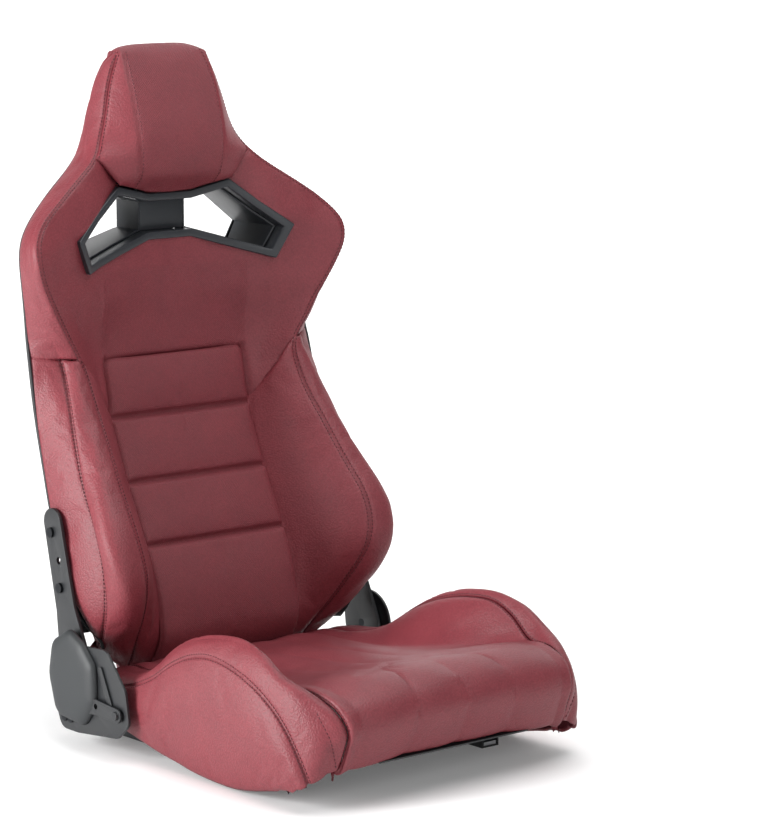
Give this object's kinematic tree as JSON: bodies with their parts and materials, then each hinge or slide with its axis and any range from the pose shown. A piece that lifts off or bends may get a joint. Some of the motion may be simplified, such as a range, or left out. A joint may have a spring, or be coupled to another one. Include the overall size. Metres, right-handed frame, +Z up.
{
  "type": "racing seat",
  "caption": "Reclining sport seat with high side bolsters, fixed headrest, two harness windows through the backrest, and a side recliner with cover and lever.",
  "frame": {"origin": "centre of the four rail bolt holes, on the undersides of the base rails", "axes": "+Z up; the occupant faces -Y; +X towards the inboard side, away from the recliner cover"},
  "size_m": [0.5589, 0.7403, 0.956],
  "materials": {
    "leatherette": "satin",
    "bezel_plastic": "satin",
    "cover_plastic": "matte",
    "black_steel": "satin",
    "zinc_steel": "satin"
  },
  "bodies": {
    "base": {"base_rail_inboard": "black_steel", "base_rail_outboard": "black_steel", "rail_nut_plates": "zinc_steel", "base_cross_tube": "black_steel", "seat_pan": "black_steel", "pan_screws": "zinc_steel", "base_beam_rear": "black_steel", "beam_end_blocks": "zinc_steel", "hinge_bracket_inboard": "black_steel", "hinge_bracket_outboard": "black_steel", "bracket_bolts": "zinc_steel", "bracket_rib": "black_steel", "recliner_disc": "zinc_steel", "hinge_pin_inboard": "zinc_steel", "hinge_pin_outboard": "zinc_steel", "lever_bolt": "zinc_steel", "recliner_cover": "cover_plastic", "cover_screws": "zinc_steel", "return_spring": "zinc_steel", "base_cushion": "leatherette", "base_nose": "leatherette", "base_bolster_inboard": "leatherette", "base_bolster_outboard": "leatherette", "base_underflap": "cover_plastic"},
    "backrest": {"hinge_arm_inboard": "black_steel", "hinge_arm_outboard": "black_steel", "arm_spacers": "black_steel", "arm_bolts": "zinc_steel", "recliner_ring": "zinc_steel", "back_tube_inboard": "black_steel", "back_tube_outboard": "black_steel", "back_arch": "black_steel", "back_cross_lower": "black_steel", "headrest_tubes": "black_steel", "lumbar_wires": "zinc_steel", "back_insert": "leatherette", "back_bolster_inboard": "leatherette", "back_bolster_outboard": "leatherette", "upper_back_pad": "leatherette", "back_shoulder_inboard": "leatherette", "back_shoulder_outboard": "leatherette", "headrest_pad": "leatherette", "back_panel": "leatherette", "bezel_front": "bezel_plastic", "bezel_liner_inboard": "bezel_plastic", "bezel_liner_outboard": "bezel_plastic", "bezel_bridge": "bezel_plastic", "bezel_rear": "bezel_plastic"},
    "lever": {"release_lever": "black_steel"},
    "link": {"release_link": "zinc_steel"},
    "cam": {"recliner_cam": "zinc_steel", "release_crank": "zinc_steel"},
    "pawl_upper": {"pawl_upper": "zinc_steel"},
    "pawl_lower": {"pawl_lower": "zinc_steel"}
  },
  "joints": [
    {"name": "recline", "type": "hinge", "parent": "base", "child": "backrest", "pos_m": [0, 0.216, 0.097], "axis": [-1, 0, 0], "range_deg": [-30, 55]},
    {"name": "release", "type": "hinge", "parent": "base", "child": "lever", "pos_m": [0, 0.168, 0.066], "axis": [-1, 0, 0], "range_deg": [0, 24], "stiffness_Nm_per_rad": 0.8, "springref_deg": -11.46},
    {"name": "link_swing", "type": "hinge", "parent": "lever", "child": "link", "pos_m": [0, 0.15772, 0.07826], "axis": [-1, 0, 0], "range_deg": [-24, 0]},
    {"name": "cam_turn", "type": "hinge", "parent": "base", "child": "cam", "pos_m": [0, 0.216, 0.097], "axis": [-1, 0, 0], "range_deg": [0, 24]},
    {"name": "pawl_upper_slide", "type": "slide", "parent": "base", "child": "pawl_upper", "axis": [0, 0, -1], "range_m": [0, 0.0031]},
    {"name": "pawl_lower_slide", "type": "slide", "parent": "base", "child": "pawl_lower", "axis": [0, 0, 1], "range_m": [0, 0.0031]}
  ],
  "couplings": [
    {"joint": "link_swing", "follows": "release", "ratio": -1},
    {"joint": "cam_turn", "follows": "release", "ratio": 1},
    {"joint": "pawl_upper_slide", "follows": "release", "m_per_rad": 0.007162},
    {"joint": "pawl_lower_slide", "follows": "release", "m_per_rad": 0.007162}
  ]
}
